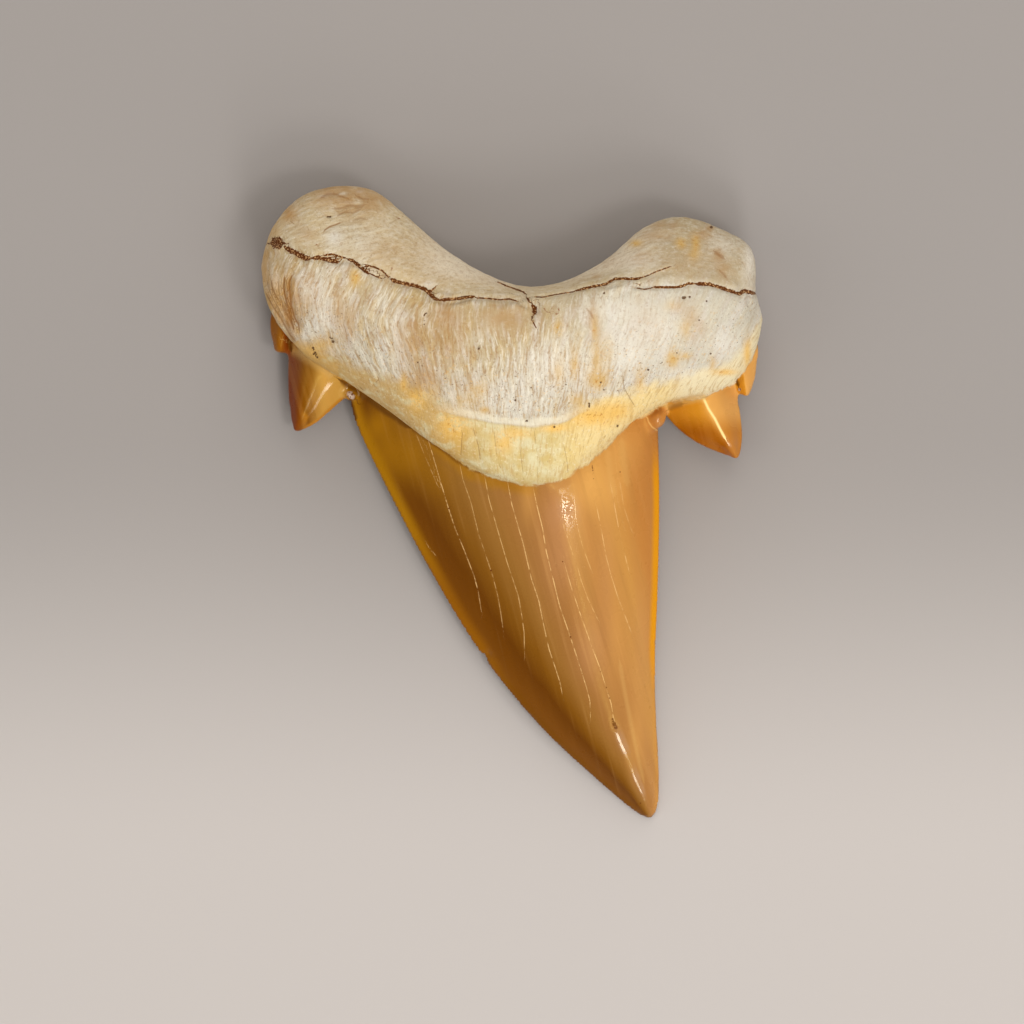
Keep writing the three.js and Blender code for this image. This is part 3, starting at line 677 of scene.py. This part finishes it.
def paint(mesh, points, near):
    """Stores what the material reads, point by point."""
    normals = normals_of(mesh, points)
    area = regions(points, normals)
    x = points[:, 0]
    up, lingual = area["up"], area["lingual"]
    left, right = area["from_left"], area["from_right"]
    under_neck = smoothstep(-1.5, -0.4, area["into_root"]) * smoothstep(3, 1.4, x)
    under_neck *= smoothstep(-10, -7, x)
    pits = np.array(PITS)
    away = points[:, None, :2] - pits[:, :2]
    closest = np.argmin(np.hypot(*np.moveaxis(away, 2, 0)), axis=1)
    away = away[np.arange(len(points)), closest]
    values = {
        **{name: area[name] for name in ("into_root", "lip", "above_crest")},
        "above_lip": area["above_lip"] * lingual + (1 - lingual) * 3,
        "across": np.clip(area["across"], -1, 2),
        "cusplet": smoothstep(-0.2, -0.7, np.minimum(left, right)),
        "facing_right": normals[:, 0],
        "on_right": smoothstep(-5, 5, x),
        "fibre_run": fibre_run(points),
        "from_left": np.clip(left, -2, 12),
        "from_right": np.clip(right, -2, 12),
        "near_edge": np.minimum(near, 4),
        "tan": stain(points, TAN_STAINS) * up + 0.4 * (1 - lingual),
        "gold": np.maximum(stain(points, GOLD_ENAMEL), 0.8 * under_neck) * up,
        "pit_x": away[:, 0] / pits[closest, 2],
        "pit_y": away[:, 1] / pits[closest, 2],
        "pit_on": smoothstep(0.6, 0.4, np.hypot(*away.T)) * up,
    }
    patches = {
        "ochre": OCHRE_STAINS,
        "white": WHITE_PATCHES,
        "smooth": SMOOTH_PATCHES,
        "rosy_sheen": ROSY_SHEEN,
        "honey": HONEY_ENAMEL,
        "polish": POLISH,
        "matrix": [(x, y, reach, reach, 1) for x, y, reach, _ in MATRIX_BITS],
    }
    for name, rows in patches.items():
        values[name] = stain(points, rows) * up
    lines = {
        "root_crack": ROOT_CRACKS,
        "neck_crack": NECK_CRACKS,
        "enamel_crack": [(0.045, power, path) for power, path in ENAMEL_CRACKS],
        "pale_band_and_glint": PALE_BANDS_AND_GLINTS,
        "painted_shade": PAINTED_SHADE_LINES,
        "crease": [(half, power, path) for half, _, power, path in CREASES],
        "squiggle": [(half, 1, path) for half, path in SQUIGGLES],
        "blur": BLURS,
    }
    for name, paths in lines.items():
        values[name], strength = nearest_line(points, paths)
        values[name + "_on"] = strength * up
    for name, value in values.items():
        layer = mesh.attributes.new(name, "FLOAT", "POINT")
        layer.data.foreach_set("value", np.asarray(value, dtype=np.float32))


# ------------------------ material
def srgb(red, green, blue):
    """A screen colour from 0 to 255 as the linear colour that a shader takes."""
    channels = (c / 255 for c in (red, green, blue))
    return (*(c / 12.92 if c <= 0.04045 else ((c + 0.055) / 1.055) ** 2.4 for c in channels), 1)


class Graph:
    """A new material, with short names for its shader nodes."""

    def __init__(self, name):
        self.material = bpy.data.materials.new(name)
        self.material.use_nodes = True
        self.tree = self.material.node_tree

    def fill(self, node, inputs):
        """Gives a node's inputs, by name or number, a value or another node's socket."""
        for key, value in inputs.items():
            if isinstance(value, bpy.types.NodeSocket):
                self.tree.links.new(value, node.inputs[key])
            else:
                node.inputs[key].default_value = value

    def surface(self, inputs):
        self.fill(self.tree.nodes["Principled BSDF"], inputs)
        return self.material

    def node(self, kind, inputs=None, **settings):
        node = self.tree.nodes.new(kind)
        for name, value in settings.items():
            setattr(node, name, value)
        self.fill(node, inputs or {})
        return node

    def math(self, operation, *values):
        return self.node("ShaderNodeMath", dict(enumerate(values)), operation=operation).outputs[0]

    def add(self, a, b):
        return self.math("ADD", a, b)

    def less(self, a, b):
        return self.math("SUBTRACT", a, b)

    def times(self, a, b, *more):
        product = self.math("MULTIPLY", a, b)
        return self.times(product, *more) if more else product

    def linear(self, value, by, plus):
        """The value times one number plus another."""
        return self.math("MULTIPLY_ADD", value, by, plus)

    def step(self, value, low, high):
        """0 at low, 1 at high, smooth between; low may be above high."""
        inputs = dict(enumerate((value, low, high, 0, 1)))
        return self.node("ShaderNodeMapRange", inputs, interpolation_type="SMOOTHSTEP").outputs[0]

    def blend(self, factor, a, b):
        """A number between a and b."""
        return self.node("ShaderNodeMix", {0: factor, 2: a, 3: b}, data_type="FLOAT").outputs[0]

    def mix(self, factor, a, b):
        """A colour between a and b, either of which may be a screen colour."""
        a, b = (srgb(*colour) if isinstance(colour, tuple) else colour for colour in (a, b))
        return self.node("ShaderNodeMix", {0: factor, 6: a, 7: b}, data_type="RGBA").outputs[2]

    def layers(self, colour, rows):
        """The colour with more laid over it in turn: where, which colour, and how much."""
        for mask, over, amount in rows:
            colour = self.mix(self.times(mask, amount), colour, over)
        return colour

    def read(self, name):
        return self.node("ShaderNodeAttribute", attribute_name=name).outputs["Fac"]

    def place(self):
        """The point on the tooth, in millimetres."""
        metres = self.node("ShaderNodeTexCoord").outputs["Object"]
        inputs = {0: metres, 1: (1 / MM,) * 3}
        return self.node("ShaderNodeVectorMath", inputs, operation="MULTIPLY").outputs[0]

    def vector(self, x, y, z):
        return self.node("ShaderNodeCombineXYZ", {0: x, 1: y, 2: z}).outputs[0]

    def split(self, vector):
        return self.node("ShaderNodeSeparateXYZ", {0: vector}).outputs[:3]

    def noise(self, vector, size, detail=2, roughness=0.5):
        """Noise from 0 to 1 with features of that size in millimetres."""
        inputs = {"Vector": vector, "Scale": 1 / size, "Detail": detail, "Roughness": roughness}
        return self.node("ShaderNodeTexNoise", inputs).outputs["Fac"]


def line(g, name, width, softness, wander=0):
    """The strength of the lines that an attribute gives the place across of, 0 off them."""
    away = g.math("ABSOLUTE", g.add(g.read(name), wander))
    return g.times(g.step(away, width + softness, width), g.read(name + "_on"))


def fossil_material():
    g = Graph("fossil")
    here = g.place()
    x, y, z = g.split(here)
    cloud = g.noise(here, 3.4, 3)
    patch = g.noise(here, 1.3, 3)
    grit = g.noise(here, 0.3, 3, 0.65)
    run = g.add(g.read("fibre_run"), g.linear(g.noise(here, 1.5, 2), 0.4, -0.2))
    fibres = g.noise(g.vector(run, g.times(y, 0.12), g.times(z, 0.12)), 0.22, 3, 0.65)
    strokes = g.noise(g.vector(run, g.times(y, 0.3), g.times(z, 0.3)), 0.14, 2, 0.6)
    basal = g.step(g.read("above_crest"), -0.6, 1.2)
    along = g.linear(x, 0.35, g.times(y, 0.12))
    aside = g.linear(x, -0.33, y)
    mottle = g.noise(g.vector(along, aside, z), 0.42, 4, 0.6)
    fibres = g.blend(basal, fibres, mottle)

    bone = bone_colour(g, x, cloud, patch, grit, fibres, strokes, basal)
    enamel = enamel_colour(g, x, y, slant=g.linear(y, 0.27, x))
    fringe = g.linear(g.noise(here, 0.5, 3, 0.7), 0.7, -0.35)
    is_enamel = g.step(g.add(g.read("into_root"), fringe), 0.18, -0.14)
    blur = g.times(line(g, "blur", 0.2, 1), g.step(patch, 0.1, 0.5))
    # painted shade: brown laid along the lines of the corners and crevices
    shade = line(g, "painted_shade", 0.1, 1.2, g.linear(patch, 0.8, -0.4))
    bit = g.step(g.add(g.read("matrix"), g.times(grit, 1.2)), 1, 1.25)
    matrix = g.mix(g.step(g.noise(here, 0.22, 2), 0.5, 0.4), (196, 172, 152), (120, 74, 48))
    from_pit = g.add(g.math("POWER", g.read("pit_x"), 2), g.math("POWER", g.read("pit_y"), 2))
    from_pit = g.add(from_pit, g.linear(grit, 3, -1.5))
    hole = g.times(g.step(from_pit, 1.3, 0.4), g.read("pit_on"))
    colour = g.layers(g.mix(is_enamel, bone, enamel), [
        (blur, (208, 164, 92), 0.8),
        # painted shade in the corners, laid on the enamel only
        (g.times(shade, g.step(is_enamel, 0.1, 0.7)), (100, 54, 4), 1),
        (bit, matrix, 1),
        (hole, g.mix(is_enamel, (92, 56, 32), (96, 36, 0)), 0.9),
    ])

    in_neck = g.times(g.step(g.read("above_lip"), 0.15, -0.2), g.read("lip"))
    bone_rough = g.linear(in_neck, -0.12, 0.64)
    enamel_rough = g.linear(g.noise(here, 1.6, 2), 0.08, 0.24)
    enamel_rough = g.linear(g.read("polish"), -0.19, enamel_rough)

    # relief too fine for the mesh: fibres and grit on the bone, cracks and crazing on the enamel
    is_bone = g.less(1, is_enamel)
    rough_bone = g.times(is_bone, g.less(1, in_neck))
    fibrous = g.linear(g.read("smooth"), -0.8, 1)
    relief = g.times(fibres, 0.9, fibrous)
    relief = g.add(relief, g.times(strokes, 0.5, fibrous))
    relief = g.add(relief, g.times(grit, 0.5))
    relief = g.times(relief, g.linear(rough_bone, 0.9, 0.1), is_bone)
    filling = g.times(line(g, "root_crack", 0.8, 0.6, g.linear(grit, 1.6, -0.8)), grit)
    growth = g.times(line(g, "enamel_crack", 0.3, 1.2), 0.08)
    for cut in (g.times(hole, is_bone), filling, growth):
        relief = g.less(relief, cut)
    crazed = g.times(g.noise(here, 0.45, 1), g.read("polish"), g.read("rosy_sheen"))
    relief = g.add(relief, g.times(crazed, 0.8))
    depth = {"Height": relief, "Strength": 0.8, "Distance": 0.13 * MM}
    bump = g.node("ShaderNodeBump", depth).outputs[0]
    return g.surface({
        "Base Color": colour,
        "Roughness": g.blend(is_enamel, bone_rough, enamel_rough),
        "IOR": 1.52,
        "Specular IOR Level": 0.24,
        "Specular Tint": (1, 0.75, 0.18, 1),
        "Coat Weight": g.read("polish"),
        "Coat Roughness": 0.07,
        "Normal": bump,
        "Coat Normal": bump,
    })


def bone_colour(g, x, cloud, patch, grit, fibres, strokes, basal):
    """The root: cream bone with brown and ochre stains, and a smooth yellow neck."""
    here = g.place()
    above_lip = g.read("above_lip")
    near_lip = g.step(above_lip, 9, 3)
    on_right = g.step(x, 3, 10)
    fibrous = g.times(g.linear(g.read("smooth"), -0.85, 1), g.linear(basal, -0.45, 1))
    whiter = g.math("MAXIMUM", on_right, g.times(g.step(above_lip, 7, 2), 0.8))
    tint = g.noise(g.vector(g.read("fibre_run"), g.times(above_lip, 0.3), 0), 0.8, 2)
    # painted rim light: the top rims above the crest are made paler where light would catch them
    rim = g.times(g.step(g.read("above_crest"), 0.9, 2.4), g.step(x, -10, -6))
    tan = g.mix(g.step(x, -19.8, -20.6), (174, 130, 78), (181, 120, 32))
    tan = g.mix(g.step(x, -21.2, -22), tan, (216, 164, 88))
    dots = g.step(g.noise(here, 0.2, 1), 0.68, 0.74)
    rusty = g.step(g.noise(here, 0.42, 3, 0.7), 0.58, 0.68)
    bone = g.mix(g.step(cloud, 0.36, 0.64), (197, 182, 154), (184, 162, 124))
    bone = g.layers(bone, [
        (g.times(whiter, g.less(1, basal)), (204, 197, 180), 0.85),
        (g.times(g.step(tint, 0.5, 0.66), fibrous), (208, 178, 122), 0.4),
        (g.step(tint, 0.5, 0.34), (210, 200, 190), 0.4),
        (basal, g.mix(on_right, (210, 190, 154), (185, 168, 137)), 0.75),
        # painted rim light on the top rims, fading out towards the right lobe
        (g.times(rim, g.step(x, 16, 9)), (234, 219, 193), 0.88),
        (g.read("white"), (226, 218, 204), 0.8),
        (g.times(g.step(fibres, 0.48, 0.38), fibrous), (166, 126, 80), 0.5),
        (g.times(g.step(fibres, 0.52, 0.64), fibrous), (238, 230, 212), 0.5),
        (g.times(g.step(strokes, 0.43, 0.3), fibrous), (142, 98, 56), 0.5),
        (g.step(grit, 0.56, 0.74), (244, 238, 224), 0.35),
        (g.step(grit, 0.44, 0.3), (150, 110, 70), 0.3),
        (g.times(g.read("tan"), g.step(patch, 0.1, 0.55)), tan, 0.75),
        (g.times(dots, near_lip), (104, 70, 44), 0.8),
        (g.times(rusty, near_lip), (218, 172, 102), 0.45),
    ])

    on_left = g.step(x, -2, -6)
    neck = g.mix(g.step(patch, 0.3, 0.7), (215, 203, 162), (203, 177, 116))
    neck = g.layers(neck, [
        (on_left, (200, 178, 126), 0.6),
        (g.times(on_left, g.step(patch, 0.36, 0.52)), (192, 148, 72), 0.75),
        (g.step(x, 3, 9), (243, 212, 142), 0.85),
        (g.step(x, 14, 17), (232, 218, 182), 0.75),
        (g.step(fibres, 0.5, 0.36), (190, 148, 84), 0.5),
        (g.step(strokes, 0.4, 0.28), (150, 106, 56), 0.45),
        (g.step(grit, 0.54, 0.7), (238, 228, 196), 0.4),
    ])
    hard = g.step(above_lip, 0.15, -0.15)
    soft = g.step(g.add(above_lip, g.times(patch, 1.6)), 2.2, 0.8)
    is_neck = g.blend(g.read("lip"), g.times(soft, 0.85), hard)

    roll = g.times(g.step(above_lip, -0.15, 0.2), g.step(above_lip, 1, 0.5), g.read("lip"))
    ochre = g.read("ochre")
    yellow = g.mix(is_neck, (208, 164, 84), (238, 186, 92))
    rust = g.step(g.noise(here, 0.26, 2, 0.6), 0.58, 0.68)
    squiggle = g.times(line(g, "squiggle", 0.4, 1.2), g.step(grit, 0.4, 0.55))
    crack = line(g, "root_crack", 0.8, 0.7, g.linear(grit, 2.4, -1.2))
    grains = g.step(g.noise(here, 0.15, 1, 0.4), 0.55, 0.66)
    neck_crack = g.times(line(g, "neck_crack", 0.3, 1.2), g.step(patch, 0.35, 0.55))
    return g.layers(g.mix(is_neck, bone, neck), [
        (roll, (240, 230, 204), 0.6),
        (g.times(ochre, g.step(g.add(patch, grit), 0.6, 0.95)), yellow, 0.85),
        (g.times(ochre, rust), (184, 118, 44), 0.75),
        (line(g, "crease", 0.1, 1.2), (136, 84, 32), 0.8),
        (squiggle, (138, 84, 44), 0.85),
        (g.step(crack, 0.02, 0.1), g.mix(grains, (92, 46, 22), (194, 150, 102)), 1),
        (g.step(neck_crack, 0.02, 0.09), (140, 100, 54), 0.55),
    ])


def enamel_colour(g, x, y, slant):
    """The crown: smooth amber enamel, brighter towards its edges partly by a painted glow, and its side
    cusps.
    """
    streaks = g.noise(g.vector(slant, g.times(y, 0.05), 0), 1.1, 3, 0.6)
    across = g.linear(g.add(y, 7), 0.008, g.read("across"))
    across = g.add(across, g.linear(streaks, 0.12, -0.06))
    ramp = g.node("ShaderNodeValToRGB", {0: across})
    stops = [
        (0, (120, 66, 0)), (0.15, (104, 54, 0)), (0.25, (128, 78, 14)),
        (0.37, (149, 100, 42)), (0.5, (158, 106, 54)), (0.63, (168, 114, 59)),
        (0.75, (183, 126, 65)), (0.87, (198, 140, 68)), (0.97, (190, 124, 56)),
    ]
    elements = ramp.color_ramp.elements
    while len(elements) < len(stops):
        elements.new(0.5)
    for element, (position, colour) in zip(elements, stops):
        element.position = position
        element.color = srgb(*colour)
    # the cutting edges turn paler gold: partly the amber's own tone, partly a painted glow of light through
    # the thin enamel
    tipward = g.step(y, -13, -20)
    left_edge = g.step(g.linear(tipward, 0.35, g.read("from_left")), 1.3, 0.3)
    left_gold = g.mix(g.step(y, 0, -10), (170, 114, 2), (148, 88, 2))
    left_gold = g.mix(tipward, left_gold, (118, 67, 0))
    right_edge = g.step(g.linear(tipward, 0.3, g.read("from_right")), 0.8, 0.35)
    right_edge = g.times(right_edge, g.step(y, 6, 2), g.linear(tipward, -0.9, 1))
    broken = g.step(g.noise(g.vector(slant, y, 0), 0.9, 3, 0.7), 0.36, 0.6)
    growth = g.times(line(g, "enamel_crack", 0.2, 1.4), broken)
    # pale bands, and painted highlights along the crests and rims
    band = line(g, "pale_band_and_glint", 0.1, 1.4)
    blade = g.layers(ramp.outputs[0], [
        (g.read("gold"), (172, 114, 4), 0.8),
        # pink tone, partly a painted sheen down the ridge
        (g.read("rosy_sheen"), (196, 140, 98), 0.45),
        (g.read("honey"), (226, 166, 88), 0.65),
        (g.step(streaks, 0.5, 0.3), (120, 72, 20), 0.12),
        (g.step(streaks, 0.55, 0.75), (226, 172, 104), 0.15),
        # painted glow along the thin edges, partly the amber's own tone
        (left_edge, left_gold, 0.9),
        (right_edge, (220, 144, 4), 0.95),
        # pale bands, with painted highlights on the nub's rim and down the ridge near the tip
        (band, (240, 196, 118), 0.9),
        (growth, (236, 190, 126), 0.85),
    ])

    # the left cusps brighten from brown to gold, the right one darkens to its tip; the cusps carry painted
    # light and shade
    beside_edge = g.times(g.step(g.read("near_edge"), 0.9, 0.5), g.step(x, -20.2, -19.2))
    left_cusp = g.layers((122, 46, 0), [
        (g.step(x, -20.9, -19.4), (126, 74, 0), 1),
        # gold on the right of the left cusps, partly a painted highlight
        (g.step(x, -19.4, -17.7), (200, 149, 66), 1),
        (beside_edge, (186, 118, 20), 0.8),
        (g.step(x, -21.4, -22), (146, 84, 6), 1),
    ])
    low = g.step(y, 8.8, 6.4)
    # painted light and shade: faces turned left get a darker colour than faces turned right
    left_face_shaded = g.mix(low, (208, 138, 32), (158, 86, 0))
    facing_right = g.mix(low, (218, 156, 80), (184, 116, 42))
    right_cusp = g.mix(g.step(g.read("facing_right"), -0.4, 0.3), left_face_shaded, facing_right)
    cusp = g.layers(g.mix(g.read("on_right"), left_cusp, right_cusp), [
        (g.step(streaks, 0.45, 0.65), (232, 164, 80), 0.12),
        # painted highlight along the right cusp's crest
        (band, (252, 222, 150), 1),
    ])
    return g.mix(g.read("cusplet"), blade, cusp)


# ------------------------ studio
FLOOR_HALF = 1.5  # metres
FLOOR_DROP = 0.0002  # how far the floor lies below the tooth, in metres


def floor():
    mesh = bpy.data.meshes.new("floor")
    corners = [(x * FLOOR_HALF, y * FLOOR_HALF, 0) for x, y in ((-1, -1), (1, -1), (1, 1), (-1, 1))]
    mesh.from_pydata(corners, [], [(0, 1, 2, 3)])
    ground = new_object("floor", mesh)
    ground.location.z = -FLOOR_DROP
    g = Graph("floor")
    _, y, _ = g.split(g.place())
    # painted fall-off of light: the floor is darker towards +Y, where the root lies
    painted_falloff = g.mix(g.step(y, 8, -34), (151, 144, 139), (188, 180, 174))
    mesh.materials.append(g.surface({"Base Color": painted_falloff, "Roughness": 0.9}))


MIDDLE = (0, 0, 0.005)  # of the tooth, where every lamp is aimed
WARM = (1, 0.985, 0.96)
WHITE = (1, 1, 1)
# Name, place, size, power and colour of each lamp.
LAMPS = [
    ("key", (0.22, 0.06, 0.76), 0.8, 1.4, (1, 0.99, 0.97)),
    ("front", (0.3, -0.54, 0.58), 0.7, 1.85, (0.98, 0.99, 1)),
    ("back", (0.05, 0.62, 0.46), 0.6, 2.2, WARM),
    ("left", (-0.54, -0.1, 0.4), 0.5, 0.85, WARM),
    ("right", (0.62, 0.12, 0.34), 0.4, 0.35, WARM),
    ("neck glint", (0.27, -0.19, 0.73), 0.15, 1.1, WHITE),
    ("tip glint", (0.15, -0.49, 0.6), 0.16, 0.9, WHITE),
    ("low glint", (0.15, -0.62, 0.47), 0.13, 0.45, WHITE),
    ("cusp glint", (0.52, -0.62, 0.08), 0.12, 0.3, WHITE),
]
SKY_STRENGTH = 0.32


def studio():
    for name, place, size, power, colour in LAMPS:
        light = bpy.data.lights.new(name, "AREA")
        light.energy = power
        light.size = size
        light.color = colour
        lamp = new_object(name, light)
        lamp.location = place
        aim = Vector(MIDDLE) - Vector(place)
        lamp.rotation_euler = aim.to_track_quat("-Z", "Y").to_euler()
    world = bpy.data.worlds.new("studio")
    world.use_nodes = True
    background = world.node_tree.nodes["Background"]
    background.inputs["Color"].default_value = (1, 0.99, 0.97, 1)
    background.inputs["Strength"].default_value = SKY_STRENGTH
    bpy.context.scene.world = world
    bpy.context.scene.view_settings.view_transform = "Standard"


def camera():
    """Straight above the tooth, with the root at the top of the frame."""
    height, frame_width, towards_tip = 3, 0.09728, 0.00095
    data = bpy.data.cameras.new("camera")
    data.sensor_width = 36
    data.lens = data.sensor_width * height / frame_width
    data.clip_start = 0.01
    data.clip_end = 10
    shot = new_object("camera", data)
    shot.location = (0, -towards_tip, height)
    bpy.context.scene.camera = shot


# ------------------------ the scene
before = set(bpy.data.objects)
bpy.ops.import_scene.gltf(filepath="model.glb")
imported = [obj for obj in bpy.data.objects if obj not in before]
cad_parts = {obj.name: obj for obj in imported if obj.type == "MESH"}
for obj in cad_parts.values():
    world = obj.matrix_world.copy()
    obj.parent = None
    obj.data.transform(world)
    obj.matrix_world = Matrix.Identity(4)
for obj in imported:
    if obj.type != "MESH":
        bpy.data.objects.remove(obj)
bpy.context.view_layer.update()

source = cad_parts["shark_tooth"].data
tooth_mesh = dense_mesh(source)
sculpted, near_edge = sculpt(tooth_mesh, *sharp_edges(source))
paint(tooth_mesh, sculpted, near_edge)
write_points(tooth_mesh, sculpted * MM)
tooth_mesh.shade_smooth()
tooth_mesh.materials.clear()
tooth_mesh.materials.append(fossil_material())
tooth = new_object("tooth", tooth_mesh)
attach(tooth, "root")
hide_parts("shark_tooth")

floor()
studio()
camera()

print("tooth", len(tooth_mesh.polygons), "faces")
